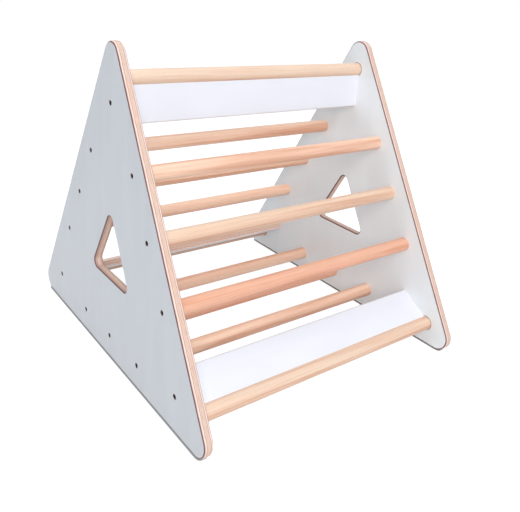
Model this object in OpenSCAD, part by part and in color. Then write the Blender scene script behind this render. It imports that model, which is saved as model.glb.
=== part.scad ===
// Climbing triangle for small children: two rounded triangular side panels, joined by
// twelve round rungs and three boards. It doesn't fold, and nothing on it moves.
// X runs along the rungs, -Y is the front and +Z is up. The panels stand on z = 0.
// All three sides are alike, so it can be turned onto any of them.

/* [Frame] */
// Clear width between the two side panels
inside_w = 500; // [300:5:800]
// Distance between neighbouring middle rungs along a side
rung_pitch = 100; // [80:1:140]
// Distance from a corner rung to the nearest middle rung
corner_pitch = 150; // [110:1:220]
// Distance from the axes of a side's rungs to the panel's straight edge
edge_inset = 40; // [32:1:60]

/* [Side panels] */
// Thickness of a side panel, with the laminate on both faces
panel_t = 15; // [13:0.5:24]
// Radius of the panel's three corners
corner_r = 25; // [15:1:50]
// Length of the cut-out's sides, measured as if its corners were sharp
cutout_side = 136; // [80:1:220]
// Radius of the cut-out's three corners
cutout_r = 10; // [6:0.5:20]

/* [Boards] */
// Thickness of a board, with the laminate on both faces
board_t = 15; // [12:0.5:18]
// Depth of a board, from its edge in the corner rung to its free edge
board_depth = 65; // [50:1:90]
// Distance from a board's edge in the corner rung to its screws
board_screw_edge = 30; // [20:1:40]
// Depth of the corner rung's groove that holds the board's edge
groove_depth = 5.5; // [3:0.25:7]

/* [Plywood] */
// Thickness of the laminate on each face
laminate_t = 1; // [0.5:0.1:1.5]
// Radius of the rounded edges of the panels and boards
edge_round = 3.5; // [2:0.25:4.5]

/* [Rungs] */
// Diameter of all the rungs
rung_d = 25; // [22:0.5:32]
// Depth of the blind sockets in the panels that hold the corner rungs
socket_depth = 8; // [4:0.5:9]
// Size of the bevel round each end of a rung
rung_bevel = 0.8; // [0.3:0.1:2]

/* [Screws] */
// Length of a screw, from the top of its head to its tip
screw_len = 50; // [35:1:70]
// Diameter of the screw's body
screw_d = 5; // [4:0.25:6]
// Diameter of the screw's head
head_d = 8; // [7:0.25:10]
// Height of the screw's head
head_h = 4; // [3:0.25:6]
// Depth of the head's top under the panel's face
head_sink = 1; // [0.3:0.1:2]
// Size of the bevel round the head's top
head_bevel = 0.5; // [0.2:0.1:1]
// Width across the flats of the head's hexagon socket
hex_w = 4; // [3:0.1:5]
// Depth of the head's hexagon socket
hex_depth = 2.4; // [1:0.1:2.6]
// Length of the screw's tapered tip
tip_len = 6; // [3:0.5:10]
// Diameter of the tip's blunt end
tip_d = 1.2; // [0.6:0.2:2.4]

/* [Clearances] */
// Gap all round a corner rung in its socket
socket_gap = 0.15; // [0.1:0.05:0.4]
// Gap between the end of a corner rung and the bottom of its socket
socket_end_gap = 0.3; // [0.1:0.05:0.5]
// Gap on each side of a board in its groove
groove_gap = 0.15; // [0.1:0.05:0.4]
// Gap all round a screw's head and body in the panel
screw_gap = 0.25; // [0.1:0.05:0.5]
// Gap all round a screw's body in the wood that it holds
pilot_gap = 0.1; // [0.05:0.05:0.3]
// Extra depth of a pilot hole past the screw's tip
pilot_extra = 2; // [1:0.5:5]

/* [Hidden] */
$fn = 96;
// How far a cut runs past the face that it goes through
cut_past = 1;
// How far the straight stretches of an edge's cut run into those round its corners
run_past = 0.1;
// A hair's breadth by which faces that would only touch are made to cross
slip = 0.01;

beech = [0.93, 0.75, 0.61];
birch = [0.87, 0.72, 0.58];
white_laminate = [0.93, 0.94, 0.96];
dark_steel = [0.27, 0.26, 0.28];

// A triangle's outline turns by this much at each corner
third = 120;
// The head's socket is a hexagon
hex_sides = 6;
// The turn about the centre line that brings the top corner to each corner
top_turn = 0;
front_turn = third;
rear_turn = -third;
// The turn about the centre line that brings the base to each side
base_side = 0;
front_side = -third;
rear_side = third;

// An equilateral triangle's side over the radius of the circle inside it
side_to_inner_r = 2 * sqrt(3);

rung_r = rung_d / 2;
// Side of the triangle through the corner rungs' axes, and of the panel with sharp corners
rung_side = 2 * (corner_pitch + rung_pitch);
panel_side = rung_side + side_to_inner_r * edge_inset;
// Heights of the triangles' common centre over the base, and over the base's rung axes
centre_h = panel_side / side_to_inner_r;
rung_drop = centre_h - edge_inset;
// Distance from the centre to a corner rung's axis
corner_rung_h = corner_reach(rung_side);
// Distances from the corner rung's axis to the board's hidden edge and to its screw
board_seat = rung_r - groove_depth;
board_screw_in = board_seat + board_screw_edge;
// Depth of a screw's tip in the wood, and of the pilot hole for it
screw_reach = screw_len - (panel_t - head_sink);
pilot_depth = screw_reach + pilot_extra;

// Puts what is drawn in a panel's plane, with its inner face at z = 0, on the right-hand side
module on_right() {
    translate([inside_w / 2, 0, centre_h])
        rotate([90, 0, 90])
            children();
}

module on_left() {
    mirror([1, 0, 0])
        on_right()
            children();
}

// Turns a piece about the centre line, from the base or the top to another side or corner
module turned(angle) {
    translate([0, 0, centre_h])
        rotate([angle, 0, 0])
            children();
}

// Places children at the middle rungs' axes in the panel's plane
module at_middle_rungs() {
    for (side = [base_side, front_side, rear_side], place = [-1, 0, 1])
        rotate(side)
            translate([place * rung_pitch, -rung_drop, 0])
                children();
}

// Places children at the boards' screws in the panel's plane
module at_board_screws() {
    for (turn = [top_turn, front_turn, rear_turn])
        rotate(turn)
            translate([0, corner_rung_h - board_screw_in, 0])
                children();
}

// Distance from an equilateral triangle's centre to its corners
function corner_reach(side) = 2 * side / side_to_inner_r;

// Side of the triangle through the centres of a round triangle's corners
function inner_side(side, round_r) = side - side_to_inner_r * round_r;

// An equilateral triangle about its centre, with a corner up, and its corners rounded
module round_triangle(side, round_r) {
    reach = corner_reach(inner_side(side, round_r));
    polygon([for (turn = [0, third, -third], bend = [-third / 2, third / 2])
        reach * [-sin(turn), cos(turn)]
            + (round_r - slip) * [-sin(turn + bend), cos(turn + bend)]]);
    for (turn = [0, third, -third])
        rotate(turn)
            translate([0, reach])
                circle(r = round_r);
}

// Section of what is cut from an edge at the origin, whose piece lies below it and at its left
module edge_cut_section() {
    difference() {
        translate([-edge_round, -edge_round])
            square(edge_round + cut_past);
        translate([slip - edge_round, slip - edge_round])
            circle(r = edge_round);
    }
}

// What is cut away to round one edge of a panel, all along its round triangle. The edge is
// the panel's own (hole = 0) or a hole's (hole = 1), at the inner face (face = 0) or the
// outer face (face = 1)
module edge_cut(side, round_r, hole, face) {
    run = inner_side(side, round_r) + 2 * run_past;
    translate([0, 0, face * panel_t])
        mirror([0, 0, 1 - face])
            for (turn = [0, third, -third])
                rotate(turn) {
                    translate([0, corner_reach(inner_side(side, round_r)), 0])
                        rotate((180 - third) / 2)
                            rotate_extrude(angle = third)
                                translate([round_r - 2 * slip * (1 - 2 * hole), 0])
                                    mirror([hole, 0])
                                        edge_cut_section();
                    translate([-run / 2, -side / side_to_inner_r, 0])
                        rotate([90, 0, 90])
                            linear_extrude(run)
                                mirror([1 - hole, 0])
                                    edge_cut_section();
                }
}

// A screw's hole through the panel, with a wider bore for the head
module screw_hole() {
    translate([0, 0, -cut_past])
        cylinder(d = screw_d + 2 * screw_gap, h = panel_t + 2 * cut_past);
    translate([0, 0, panel_t - head_sink - head_h])
        cylinder(d = head_d + 2 * screw_gap, h = head_sink + head_h + cut_past);
}

module panel_holes() {
    at_middle_rungs() screw_hole();
    at_board_screws() screw_hole();
    for (turn = [top_turn, front_turn, rear_turn])
        rotate(turn)
            translate([0, corner_rung_h, -cut_past])
                cylinder(r = rung_r + socket_gap, h = socket_depth + cut_past);
}

// The part of a panel from one depth to another, measured from its inner face, with its
// edges rounded at the faces that are listed: 0 is the inner face and 1 the outer face
module panel_layer(low, high, faces) {
    difference() {
        translate([0, 0, low])
            linear_extrude(high - low)
                round_triangle(panel_side, corner_r);
        translate([0, 0, low - cut_past])
            linear_extrude(high - low + 2 * cut_past)
                round_triangle(cutout_side, cutout_r);
        for (face = faces) {
            edge_cut(panel_side, corner_r, 0, face);
            edge_cut(cutout_side, cutout_r, 1, face);
        }
        panel_holes();
    }
}

module panel_core() {
    panel_layer(laminate_t, panel_t - laminate_t, [0, 1]);
}

module panel_outer_face() {
    panel_layer(panel_t - laminate_t, panel_t, [1]);
}

module panel_inner_face() {
    panel_layer(0, laminate_t, [0]);
}

// Section of a board, with its hidden edge at y = 0 and its rounded free edge below
module board_section() {
    mirror([0, 1])
        translate([-board_t / 2, board_seat])
            difference() {
                square([board_t, board_depth]);
                for (face = [0, 1])
                    translate([face * board_t, board_depth])
                        mirror([face, 0])
                            difference() {
                                translate([-cut_past, -edge_round])
                                    square(edge_round + cut_past);
                                translate([edge_round, -edge_round])
                                    circle(r = edge_round);
                            }
            }
}

// The part of a board from one depth to another, measured from its front or lower face
module board_layer(turn, low, high) {
    turned(turn)
        difference() {
            translate([-inside_w / 2, 0, corner_rung_h])
                rotate([90, 0, 90])
                    linear_extrude(inside_w)
                        intersection() {
                            board_section();
                            translate([low - board_t / 2, -board_seat - board_depth])
                                square([high - low, board_depth]);
                        }
            pilot_holes(corner_rung_h - board_screw_in, inside_w);
        }
}

// Pilot holes from both ends of a piece of some length, at a height over the centre line
module pilot_holes(height, length) {
    for (end = [0, 1])
        mirror([end, 0, 0])
            translate([length / 2 - pilot_depth, 0, height])
                rotate([0, 90, 0])
                    cylinder(d = screw_d + 2 * pilot_gap, h = pilot_depth + cut_past);
}

// A round bar along X with bevelled ends, at a height over the centre line
module bar(height, length) {
    translate([-length / 2, 0, height])
        rotate([0, 90, 0])
            rotate_extrude()
                polygon([
                    [0, 0], [rung_r - rung_bevel, 0],
                    [rung_r, rung_bevel], [rung_r, length - rung_bevel],
                    [rung_r - rung_bevel, length], [0, length]
                ]);
}

// A rung screwed between the panels. Its place is -1, 0 or 1 along its side
module middle_rung(side, place) {
    color(beech)
        turned(side)
            translate([0, place * rung_pitch, 0])
                difference() {
                    bar(-rung_drop, inside_w);
                    pilot_holes(-rung_drop, inside_w);
                }
}

// A rung in the panels' sockets, grooved for the board's edge
module corner_rung(turn) {
    color(beech)
        turned(turn)
            difference() {
                bar(corner_rung_h, inside_w + 2 * (socket_depth - socket_end_gap));
                translate([-inside_w / 2 - panel_t, -board_t / 2 - groove_gap, corner_rung_h - rung_d])
                    cube([inside_w + 2 * panel_t, board_t + 2 * groove_gap, rung_d - board_seat]);
            }
}

// A screw with its head sunk in the panel's outer face, along the panel's thickness
module screw() {
    top = panel_t - head_sink;
    tip = top - screw_len;
    difference() {
        rotate_extrude()
            polygon([
                [0, tip], [tip_d / 2, tip],
                [screw_d / 2, tip + tip_len], [screw_d / 2, top - head_h],
                [head_d / 2, top - head_h], [head_d / 2, top - head_bevel],
                [head_d / 2 - head_bevel, top], [0, top]
            ]);
        translate([0, 0, top - hex_depth])
            cylinder(d = hex_w / cos(180 / hex_sides), h = hex_depth + cut_past, $fn = hex_sides);
    }
}

module left_panel_core() { color(birch) on_left() panel_core(); }
module left_panel_outer_face() { color(white_laminate) on_left() panel_outer_face(); }
module left_panel_inner_face() { color(white_laminate) on_left() panel_inner_face(); }
module right_panel_core() { color(birch) on_right() panel_core(); }
module right_panel_outer_face() { color(white_laminate) on_right() panel_outer_face(); }
module right_panel_inner_face() { color(white_laminate) on_right() panel_inner_face(); }

module board_core(turn) { color(birch) board_layer(turn, laminate_t, board_t - laminate_t); }
module board_low_face(turn) { color(white_laminate) board_layer(turn, 0, laminate_t); }
module board_high_face(turn) { color(white_laminate) board_layer(turn, board_t - laminate_t, board_t); }

module top_board_core() { board_core(top_turn); }
module top_board_front_face() { board_low_face(top_turn); }
module top_board_rear_face() { board_high_face(top_turn); }
module front_board_core() { board_core(front_turn); }
module front_board_upper_face() { board_high_face(front_turn); }
module front_board_lower_face() { board_low_face(front_turn); }
module rear_board_core() { board_core(rear_turn); }
module rear_board_upper_face() { board_low_face(rear_turn); }
module rear_board_lower_face() { board_high_face(rear_turn); }

module top_corner_rung() { corner_rung(top_turn); }
module front_corner_rung() { corner_rung(front_turn); }
module rear_corner_rung() { corner_rung(rear_turn); }

module front_upper_rung() { middle_rung(front_side, -1); }
module front_middle_rung() { middle_rung(front_side, 0); }
module front_lower_rung() { middle_rung(front_side, 1); }
module rear_upper_rung() { middle_rung(rear_side, 1); }
module rear_middle_rung() { middle_rung(rear_side, 0); }
module rear_lower_rung() { middle_rung(rear_side, -1); }
module base_front_rung() { middle_rung(base_side, -1); }
module base_middle_rung() { middle_rung(base_side, 0); }
module base_rear_rung() { middle_rung(base_side, 1); }

module left_rung_screws() { color(dark_steel) on_left() at_middle_rungs() screw(); }
module right_rung_screws() { color(dark_steel) on_right() at_middle_rungs() screw(); }
module left_board_screws() { color(dark_steel) on_left() at_board_screws() screw(); }
module right_board_screws() { color(dark_steel) on_right() at_board_screws() screw(); }

left_panel_core();
left_panel_outer_face();
left_panel_inner_face();
right_panel_core();
right_panel_outer_face();
right_panel_inner_face();
top_board_core();
top_board_front_face();
top_board_rear_face();
front_board_core();
front_board_upper_face();
front_board_lower_face();
rear_board_core();
rear_board_upper_face();
rear_board_lower_face();
top_corner_rung();
front_corner_rung();
rear_corner_rung();
front_upper_rung();
front_middle_rung();
front_lower_rung();
rear_upper_rung();
rear_middle_rung();
rear_lower_rung();
base_front_rung();
base_middle_rung();
base_rear_rung();
left_rung_screws();
right_rung_screws();
left_board_screws();
right_board_screws();
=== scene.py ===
# Looks of the climbing triangle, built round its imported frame. Lengths are in metres.
import math

import bpy
from mathutils import Matrix, Vector


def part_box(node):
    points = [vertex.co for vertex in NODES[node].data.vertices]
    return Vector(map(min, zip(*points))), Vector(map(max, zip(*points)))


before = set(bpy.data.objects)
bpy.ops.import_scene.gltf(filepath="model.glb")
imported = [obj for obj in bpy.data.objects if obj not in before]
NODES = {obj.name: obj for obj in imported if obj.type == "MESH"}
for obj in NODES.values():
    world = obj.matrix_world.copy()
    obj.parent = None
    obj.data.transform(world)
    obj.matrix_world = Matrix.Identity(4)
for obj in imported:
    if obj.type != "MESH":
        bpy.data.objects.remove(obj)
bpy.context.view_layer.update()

MM = 0.001

# The photograph's frame, and the pixel that the camera's axis runs through
IMAGE_W, IMAGE_H = 520, 512
AXIS_U, AXIS_V = 260, 170
FOCAL_PX = 629.4
SENSOR_W = 36.0


# --------------------------------------------------------------------------- frame sizes

core_low, core_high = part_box("right_panel_core")
PANEL_MIDDLE = (core_low.x + core_high.x) / 2
PANEL_CORE_T = core_high.x - core_low.x

core_low, core_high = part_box("top_board_core")
BOARD_CORE_T = core_high.y - core_low.y

face_low, face_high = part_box("right_panel_inner_face")
LAMINATE_T = face_high.x - face_low.x

rung_low, rung_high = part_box("base_middle_rung")
RUNG_R = (rung_high.z - rung_low.z) / 2

# The corner rungs' axes in the panels' plane. The boards' grooves cut only their inner sides.
top_low, top_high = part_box("top_corner_rung")
front_low, front_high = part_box("front_corner_rung")
rear_low, rear_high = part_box("rear_corner_rung")
CORNER_AXES = (
    Vector((0, top_low.y + RUNG_R, top_high.z - RUNG_R)),
    Vector((0, front_low.y + RUNG_R, front_low.z + RUNG_R)),
    Vector((0, rear_high.y - RUNG_R, rear_low.z + RUNG_R)),
)

# The cut-outs lie round the panels' centre, clear of the panels' rims
CUTOUT_CENTRE = sum(CORNER_AXES, Vector()) / 3
CUTOUT_REACH = 0.11


# --------------------------------------------------------------------------- node graphs

# A colour mix node has sockets for numbers and vectors too. These are the ones for colours.
MIX_FACTOR, MIX_FIRST, MIX_SECOND = 0, 6, 7
MIX_RESULT = 2


def grey(value):
    return (value, value, value)


class Graph:
    """The node tree of a material or world, with short calls to add and join its nodes."""

    def __init__(self, owner, output):
        self.owner = owner
        owner.use_nodes = True
        self.tree = owner.node_tree
        self.tree.nodes.clear()
        self.output = self.add(output)

    def add(self, kind, **settings):
        node = self.tree.nodes.new(kind)
        for key, value in settings.items():
            setattr(node, key, value)
        return node

    def give(self, value, socket):
        """Joins another node's output to a socket, or sets the socket to a plain value."""
        if isinstance(value, bpy.types.NodeSocket):
            self.tree.links.new(value, socket)
        elif socket.type == "RGBA":
            socket.default_value = (*value, 1.0)
        else:
            socket.default_value = value

    def place(self):
        return self.add("ShaderNodeTexCoord").outputs["Object"]

    def stretched(self, place, scale):
        node = self.add("ShaderNodeMapping")
        self.give(place, node.inputs["Vector"])
        self.give(scale, node.inputs["Scale"])
        return node.outputs["Vector"]

    def noise(self, place, scale=1.0, detail=3.0, roughness=0.5, distortion=0.0):
        node = self.add("ShaderNodeTexNoise")
        self.give(place, node.inputs["Vector"])
        self.give(scale, node.inputs["Scale"])
        self.give(detail, node.inputs["Detail"])
        self.give(roughness, node.inputs["Roughness"])
        self.give(distortion, node.inputs["Distortion"])
        return node.outputs["Fac"]

    def math(self, operation, *values):
        node = self.add("ShaderNodeMath", operation=operation)
        for value, socket in zip(values, node.inputs):
            self.give(value, socket)
        return node.outputs[0]

    def measure(self, operation, first, second):
        """The dot product of two vectors, or the distance between them."""
        node = self.add("ShaderNodeVectorMath", operation=operation)
        self.give(first, node.inputs[0])
        self.give(second, node.inputs[1])
        return node.outputs["Value"]

    def ramp(self, factor, stops):
        node = self.add("ShaderNodeValToRGB")
        elements = node.color_ramp.elements
        while len(elements) < len(stops):
            elements.new(1.0)
        for element, (position, colour) in zip(elements, stops):
            element.position = position
            element.color = (*colour, 1.0)
        self.give(factor, node.inputs["Fac"])
        return node.outputs["Color"]

    def mix(self, factor, first, second, blend="MIX"):
        node = self.add("ShaderNodeMix", data_type="RGBA", blend_type=blend)
        self.give(factor, node.inputs[MIX_FACTOR])
        self.give(first, node.inputs[MIX_FIRST])
        self.give(second, node.inputs[MIX_SECOND])
        return node.outputs[MIX_RESULT]

    def tinted(self, colour, tint):
        return self.mix(1.0, colour, tint, "MULTIPLY")

    def bump(self, height, strength, distance):
        node = self.add("ShaderNodeBump")
        self.give(height, node.inputs["Height"])
        self.give(strength, node.inputs["Strength"])
        self.give(distance, node.inputs["Distance"])
        return node.outputs["Normal"]

    def surface(self, colour, roughness, normal, metallic=0.0):
        shader = self.add("ShaderNodeBsdfPrincipled")
        self.give(colour, shader.inputs["Base Color"])
        self.give(roughness, shader.inputs["Roughness"])
        self.give(normal, shader.inputs["Normal"])
        self.give(metallic, shader.inputs["Metallic"])
        self.give(shader.outputs[0], self.output.inputs["Surface"])
        return self.owner

    def only_seen(self):
        """1 for the rays that should see the plain background, and 0 for the rays that light."""
        path = self.add("ShaderNodeLightPath")
        seen = self.math("MAXIMUM", path.outputs["Is Camera Ray"], path.outputs["Is Glossy Ray"])
        return self.math("MAXIMUM", seen, path.outputs["Is Transmission Ray"])

    def background(self, lighting, seen):
        """Ends the graph with one shader for the rays that light and one for those that see."""
        mix = self.add("ShaderNodeMixShader")
        self.give(self.only_seen(), mix.inputs[0])
        self.give(lighting.outputs[0], mix.inputs[1])
        self.give(seen.outputs[0], mix.inputs[2])
        self.give(mix.outputs[0], self.output.inputs["Surface"])


def material_graph(name):
    return Graph(bpy.data.materials.new(name), "ShaderNodeOutputMaterial")


# --------------------------------------------------------------------------- where a point lies

PANEL_NORMAL = Vector((1, 0, 0))
# A board's turn about the X axis, which brings its normal from +Y to where it points
BOARD_TURNS = {"top": 0, "front": 120, "rear": -120}


def board_normal(turn):
    return Vector((0, math.cos(math.radians(turn)), math.sin(math.radians(turn))))


def from_middle(graph, normal, middle):
    """Distance from the middle plane of a panel, on either side, or of a board."""
    along = graph.measure("DOT_PRODUCT", graph.place(), normal)
    if normal == PANEL_NORMAL:
        along = graph.math("ABSOLUTE", along)
    return graph.math("ABSOLUTE", graph.math("SUBTRACT", along, middle))


def from_axis(graph, axis):
    """Distance from a line along X, which is given by its point at x = 0."""
    across = graph.stretched(graph.place(), (0, 1, 1))
    return graph.measure("DISTANCE", across, axis)


# --------------------------------------------------------------------------- laminate

# Both faces of a panel are one laminate. Its outer white is darkened with painted shade, and its inner
# white is lightened with painted light.
OUTER_WHITE_PAINTED_SHADE = (0.74, 0.755, 0.775)
INNER_WHITE_PAINTED_LIGHT = (0.94, 0.975, 0.985)
BOARD_WHITE = (0.86, 0.86, 0.91)
# Thickness of the white itself, over the sheet's core
WHITE_T = 0.12 * MM
EDGE_BROWN = (0.17, 0.07, 0.065)
EDGE_GREY = (0.84, 0.85, 0.88)
# Painted shade: a thin dark ring round each corner rung, where it enters the panel's inner face
SOCKET_SHADE_COLOUR = (0.38, 0.24, 0.19)
SOCKET_SHADE_RING = 1.3 * MM

# Faint clouds in the white, wiped streaks in its gloss, and a fine pebble all over
CLOUD_STRETCH = (7, 30, 5)
CLOUD_SHADE = 0.955
CLOUD_FROM, CLOUD_TO = 0.3, 0.7
WIPE_STRETCH = (1, 6, 1)
WIPE_SCALE = 14.0
WIPE_ROUGHNESS = [(0.3, grey(0.30)), (0.75, grey(0.42))]
PEBBLE_SCALE = 1400.0
PEBBLE_STRENGTH = 0.12
PEBBLE_HEIGHT = 0.05 * MM


def socket_shade_mask(graph):
    nearest = 1.0
    for axis in CORNER_AXES:
        nearest = graph.math("MINIMUM", from_axis(graph, axis), nearest)
    return graph.math("LESS_THAN", nearest, RUNG_R + SOCKET_SHADE_RING)


def laminate(name, white, normal, middle, core_t, edge_colour, sockets=False):
    """White sheet, whose core shows as a line where its edge is rounded off."""
    graph = material_graph(name)
    place = graph.place()
    cloud = graph.noise(graph.stretched(place, CLOUD_STRETCH), detail=4.0)
    shaded = [c * CLOUD_SHADE for c in white]
    clouded = graph.ramp(cloud, [(CLOUD_FROM, shaded), (CLOUD_TO, white)])
    white_from = core_t / 2 + LAMINATE_T - WHITE_T
    is_white = graph.math("GREATER_THAN", from_middle(graph, normal, middle), white_from)
    colour = graph.mix(is_white, edge_colour, clouded)
    # The ring round each socket is painted shade, where the corner rungs enter the panel
    if sockets:
        colour = graph.mix(socket_shade_mask(graph), colour, SOCKET_SHADE_COLOUR)
    wipe = graph.noise(graph.stretched(place, WIPE_STRETCH), scale=WIPE_SCALE)
    roughness = graph.ramp(wipe, WIPE_ROUGHNESS)
    pebble = graph.noise(place, scale=PEBBLE_SCALE, detail=2.0)
    return graph.surface(colour, roughness, graph.bump(pebble, PEBBLE_STRENGTH, PEBBLE_HEIGHT))


# --------------------------------------------------------------------------- plywood

PLY_CREAM = (0.93, 0.72, 0.63)
PLY_TAN = (0.78, 0.57, 0.46)
PLY_LINE = (0.60, 0.40, 0.29)
PLY_GLUE = (0.38, 0.16, 0.13)
PLY_RED = (0.66, 0.40, 0.37)
PLY_ROUGHNESS = 0.55
# How far the layers wander, as a share of half the core
WANDER = 0.12
WANDER_SCALE = 35.0
# A cut-out's wall is darkened brown from its middle to its rims, between these shares
ROUTED_BROWN = (0.24, 0.13, 0.11)
ROUTED_DEPTH = 0.85
ROUTED_FROM, ROUTED_TO = 0.42, 0.95

# Fibres that run across the edge, and darker and lighter patches
FIBRE_STRETCH = (900, 90, 90)
FIBRE_SHADES = [(0.30, grey(0.84)), (0.55, grey(1.0)), (0.80, grey(1.06))]
FIBRE_STRENGTH = 0.25
FIBRE_HEIGHT = 0.2 * MM
PATCH_SCALE = 22.0
PATCH_TINTS = [(0.35, (1.0, 0.95, 0.92)), (0.65, grey(1.0))]


def plywood(name, normal, middle, core_t, rim_colours):
    """Edge of birch plywood, in layers that follow each other from its middle to its faces."""
    layer_ends = [
        (0.12, PLY_TAN), (0.15, PLY_LINE), (0.18, PLY_TAN), (0.46, PLY_TAN), (0.48, PLY_GLUE),
        (0.55, PLY_GLUE), (0.57, PLY_CREAM), (0.88, PLY_CREAM), (0.91, rim_colours[0]),
        (0.95, rim_colours[0]), (0.98, rim_colours[1]),
    ]
    graph = material_graph(name)
    place = graph.place()
    drift = graph.noise(place, scale=WANDER_SCALE, detail=2.0)
    drift = graph.math("MULTIPLY_ADD", drift, WANDER, -WANDER / 2)
    share = graph.math("DIVIDE", from_middle(graph, normal, middle), core_t / 2)
    layers = graph.ramp(graph.math("ADD", share, drift), layer_ends)
    routed = graph.math("LESS_THAN", from_axis(graph, CUTOUT_CENTRE), CUTOUT_REACH)
    browned = graph.ramp(share, [(ROUTED_FROM, grey(0.0)), (ROUTED_TO, grey(ROUTED_DEPTH))])
    layers = graph.mix(graph.math("MULTIPLY", routed, browned), layers, ROUTED_BROWN)
    fibre = graph.noise(graph.stretched(place, FIBRE_STRETCH), roughness=0.6)
    patch = graph.noise(place, scale=PATCH_SCALE)
    colour = graph.tinted(layers, graph.ramp(fibre, FIBRE_SHADES))
    colour = graph.tinted(colour, graph.ramp(patch, PATCH_TINTS))
    return graph.surface(colour, PLY_ROUGHNESS, graph.bump(fibre, FIBRE_STRENGTH, FIBRE_HEIGHT))


# --------------------------------------------------------------------------- beech

BEECH_LIGHT = (0.88, 0.645, 0.49)
BEECH_MID = (0.86, 0.575, 0.42)
BEECH_DARK = (0.71, 0.405, 0.27)
BEECH_STREAK = (0.86, 0.78, 0.73)
# The rungs come from different trees. The warm tint is also painted light: it lightens the rear rungs,
# which get less light.
BEECH_TINTS = {"pale": (0.97, 0.985, 0.98), "warm_painted_light": (1.08, 1.04, 1.03), "ruddy": (0.97, 0.75, 0.68)}
# These rungs get the warm tint, which is partly their own tone and partly painted light
WARM_PAINTED_LIGHT_RUNGS = ("front_upper", "rear_upper", "rear_middle", "rear_lower", "base_front", "base_rear")
RUDDY_RUNGS = ("front_lower", "base_middle")

# Wandering rings, fine streaks and short dark flecks, all drawn out along X
RING_STRETCH = (2.2, 75, 75)
RING_TONES = [(0.32, BEECH_DARK), (0.46, BEECH_MID), (0.62, BEECH_LIGHT)]
STREAK_STRETCH = (9, 900, 900)
STREAK_TINTS = [(0.30, BEECH_STREAK), (0.52, grey(1.0)), (0.8, grey(1.04))]
STREAK_ROUGHNESS = [(0.3, grey(0.50)), (0.8, grey(0.38))]
STREAK_STRENGTH = 0.18
STREAK_HEIGHT = 0.15 * MM
FLECK_STRETCH = (190, 2100, 2100)
FLECK_DEPTH = [(0.64, grey(0.0)), (0.74, grey(0.45))]


def beech(tone):
    """Turned beech, oiled, in one of the three tones."""
    graph = material_graph(f"beech_{tone}")
    place = graph.place()
    rings = graph.noise(graph.stretched(place, RING_STRETCH), detail=2.0, distortion=0.6)
    streaks = graph.noise(graph.stretched(place, STREAK_STRETCH), detail=4.0, roughness=0.65)
    flecks = graph.noise(graph.stretched(place, FLECK_STRETCH), detail=1.0)
    colour = graph.tinted(graph.ramp(rings, RING_TONES), graph.ramp(streaks, STREAK_TINTS))
    colour = graph.mix(graph.ramp(flecks, FLECK_DEPTH), colour, BEECH_DARK)
    colour = graph.tinted(colour, BEECH_TINTS[tone])
    roughness = graph.ramp(streaks, STREAK_ROUGHNESS)
    return graph.surface(colour, roughness, graph.bump(streaks, STREAK_STRENGTH, STREAK_HEIGHT))


# --------------------------------------------------------------------------- screws

STEEL_TONES = [(0.35, (0.016, 0.015, 0.016)), (0.75, (0.05, 0.047, 0.047))]
STEEL_ROUGHNESS = [(0.3, grey(0.40)), (0.8, grey(0.60))]
STEEL_METALLIC = 0.7
WEAR_SCALE = 900.0
WEAR_STRENGTH = 0.1
WEAR_HEIGHT = 0.05 * MM


def dark_steel():
    """Blackened screws, a little worn where a key has turned in them."""
    graph = material_graph("dark_steel")
    worn = graph.noise(graph.place(), scale=WEAR_SCALE)
    colour = graph.ramp(worn, STEEL_TONES)
    roughness = graph.ramp(worn, STEEL_ROUGHNESS)
    normal = graph.bump(worn, WEAR_STRENGTH, WEAR_HEIGHT)
    return graph.surface(colour, roughness, normal, STEEL_METALLIC)


# --------------------------------------------------------------------------- dressing

BOARD_FACES = {"top": ("front", "rear"), "front": ("upper", "lower"), "rear": ("upper", "lower")}


def dress(name, material):
    for material_slot in NODES[name].material_slots:
        material_slot.material = material


def dress_panels():
    sheet = (PANEL_NORMAL, PANEL_MIDDLE, PANEL_CORE_T)
    ply = plywood("plywood_panels", *sheet, (PLY_RED, EDGE_BROWN))
    # The outer faces get the white with painted shade, and the inner faces get the white with painted
    # light
    outer = laminate("laminate_outer_painted_shade", OUTER_WHITE_PAINTED_SHADE, *sheet, EDGE_BROWN)
    inner = laminate("laminate_inner_painted_light", INNER_WHITE_PAINTED_LIGHT, *sheet, EDGE_BROWN, sockets=True)
    for side in ("left", "right"):
        dress(f"{side}_panel_core", ply)
        dress(f"{side}_panel_outer_face", outer)
        dress(f"{side}_panel_inner_face", inner)


def dress_boards():
    for board, turn in BOARD_TURNS.items():
        normal = board_normal(turn)
        low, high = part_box(f"{board}_board_core")
        sheet = (normal, ((low + high) / 2).dot(normal), BOARD_CORE_T)
        dress(f"{board}_board_core", plywood(f"plywood_{board}_board", *sheet, (PLY_CREAM, PLY_CREAM)))
        white = laminate(f"laminate_{board}_board", BOARD_WHITE, *sheet, EDGE_GREY)
        for face in BOARD_FACES[board]:
            dress(f"{board}_board_{face}_face", white)


def rung_tone(place):
    if place in WARM_PAINTED_LIGHT_RUNGS:
        return "warm_painted_light"
    return "ruddy" if place in RUDDY_RUNGS else "pale"


def dress_rungs_and_screws():
    woods = {tone: beech(tone) for tone in BEECH_TINTS}
    steel = dark_steel()
    for name in NODES:
        if name.endswith("_rung"):
            dress(name, woods[rung_tone(name.removesuffix("_rung"))])
        if name.endswith("_screws"):
            dress(name, steel)


dress_panels()
dress_boards()
dress_rungs_and_screws()


# --------------------------------------------------------------------------- stage and light

# The sky is brightest towards the front and the right, and changes evenly from there
SKY_COLOUR = (0.87, 0.95, 1.05)
SKY_LEVEL = 0.49
SKY_SLOPE = 0.15
SKY_BRIGHT_SIDE = (0.6, -0.5, 0.0)

FLOOR_SIZE = 80.0
FLOOR_DROP = 0.2 * MM
FLOOR_ALBEDO = 0.76
FLOOR_SEEN_ALBEDO = 0.35
FLOOR_SEEN_GLOW = 0.86
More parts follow.
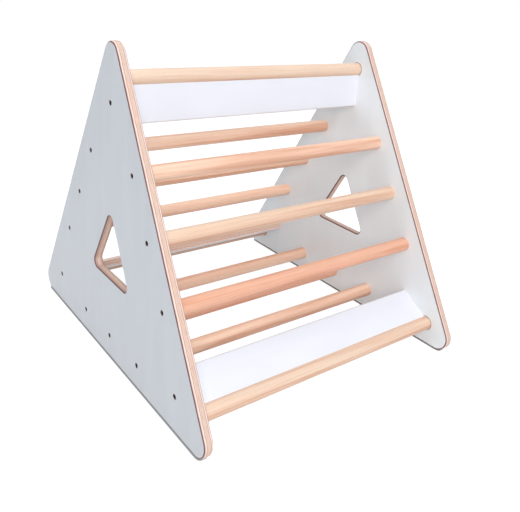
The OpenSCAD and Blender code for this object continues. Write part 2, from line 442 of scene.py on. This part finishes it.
# Painted contact shadow: near what stands on the floor, the glow fades over this distance
CONTACT_SHADOW_REACH = 3.5 * MM
CONTACT_SHADOW_POWER = 3.2
CONTACT_SHADOW_SAMPLES = 16

LAMP_TARGET = Vector((0, 0, 0.25))


def make_world():
    world = bpy.data.worlds.new("studio")
    graph = Graph(world, "ShaderNodeOutputWorld")
    direction = graph.add("ShaderNodeTexCoord").outputs["Generated"]
    brighter = graph.measure("DOT_PRODUCT", direction, SKY_BRIGHT_SIDE)
    light = graph.add("ShaderNodeBackground")
    graph.give(SKY_COLOUR, light.inputs["Color"])
    graph.give(graph.math("MULTIPLY_ADD", brighter, SKY_SLOPE, SKY_LEVEL), light.inputs["Strength"])
    white = graph.add("ShaderNodeBackground")
    graph.give(grey(1.0), white.inputs["Color"])
    graph.background(light, white)
    bpy.context.scene.world = world


def make_floor():
    mesh = bpy.data.meshes.new("floor")
    half = FLOOR_SIZE / 2
    corners = [(-half, -half), (half, -half), (half, half), (-half, half)]
    mesh.from_pydata([(x, y, -FLOOR_DROP) for x, y in corners], [], [(0, 1, 2, 3)])
    floor = bpy.data.objects.new("floor", mesh)
    bpy.context.scene.collection.objects.link(floor)
    graph = material_graph("floor")
    plain = graph.add("ShaderNodeBsdfDiffuse")
    graph.give(grey(FLOOR_ALBEDO), plain.inputs["Color"])
    shaded = graph.add("ShaderNodeBsdfDiffuse")
    graph.give(grey(FLOOR_SEEN_ALBEDO), shaded.inputs["Color"])
    # Painted contact shadow: ambient occlusion fades the floor's glow where things stand on it
    openness = graph.add("ShaderNodeAmbientOcclusion", samples=CONTACT_SHADOW_SAMPLES)
    graph.give(CONTACT_SHADOW_REACH, openness.inputs["Distance"])
    painted_contact_shadow = graph.math("POWER", openness.outputs["AO"], CONTACT_SHADOW_POWER)
    glow = graph.add("ShaderNodeEmission")
    graph.give(graph.math("MULTIPLY", painted_contact_shadow, FLOOR_SEEN_GLOW), glow.inputs["Strength"])
    seen = graph.add("ShaderNodeAddShader")
    graph.give(shaded.outputs[0], seen.inputs[0])
    graph.give(glow.outputs[0], seen.inputs[1])
    graph.background(plain, seen)
    mesh.materials.append(graph.owner)


def make_softbox(name, place, size, watts):
    lamp = bpy.data.lights.new(name, "AREA")
    lamp.shape = "SQUARE"
    lamp.size = size
    lamp.energy = watts
    holder = bpy.data.objects.new(name, lamp)
    bpy.context.scene.collection.objects.link(holder)
    holder.location = place
    holder.rotation_mode = "QUATERNION"
    holder.rotation_quaternion = (LAMP_TARGET - Vector(place)).to_track_quat("-Z", "Y")


make_world()
make_floor()
make_softbox("key", (-1.25, -2.75, 2.05), size=2.0, watts=71.0)
make_softbox("top", (0.20, 0.60, 3.20), size=2.4, watts=31.0)


# --------------------------------------------------------------------------- camera

def make_camera(place, azimuth, elevation, roll):
    """Azimuth 0 looks along +Y, positive towards +X. Elevation is how far it looks down."""
    azimuth, elevation, roll = (math.radians(a) for a in (azimuth, elevation, roll))
    ahead = Vector((
        math.sin(azimuth) * math.cos(elevation),
        math.cos(azimuth) * math.cos(elevation),
        -math.sin(elevation),
    ))
    level = ahead.cross(Vector((0, 0, 1))).normalized()
    upright = level.cross(ahead)
    right = level * math.cos(roll) + upright * math.sin(roll)
    up = right.cross(ahead)
    camera = bpy.data.objects.new("camera", bpy.data.cameras.new("camera"))
    bpy.context.scene.collection.objects.link(camera)
    turn = Matrix((right, up, -ahead)).transposed().to_4x4()
    camera.matrix_world = Matrix.Translation(place) @ turn
    lens = camera.data
    lens.sensor_fit = "HORIZONTAL"
    lens.sensor_width = SENSOR_W
    lens.lens = FOCAL_PX / IMAGE_W * SENSOR_W
    lens.shift_x = (IMAGE_W / 2 - AXIS_U) / IMAGE_W
    lens.shift_y = (AXIS_V - IMAGE_H / 2) / IMAGE_W
    lens.clip_start = 0.01
    lens.clip_end = 100
    bpy.context.scene.camera = camera


make_camera((-0.6554, -0.8694, 0.6296), azimuth=38.195, elevation=16.881, roll=4.353)

bpy.context.scene.view_settings.view_transform = "Standard"
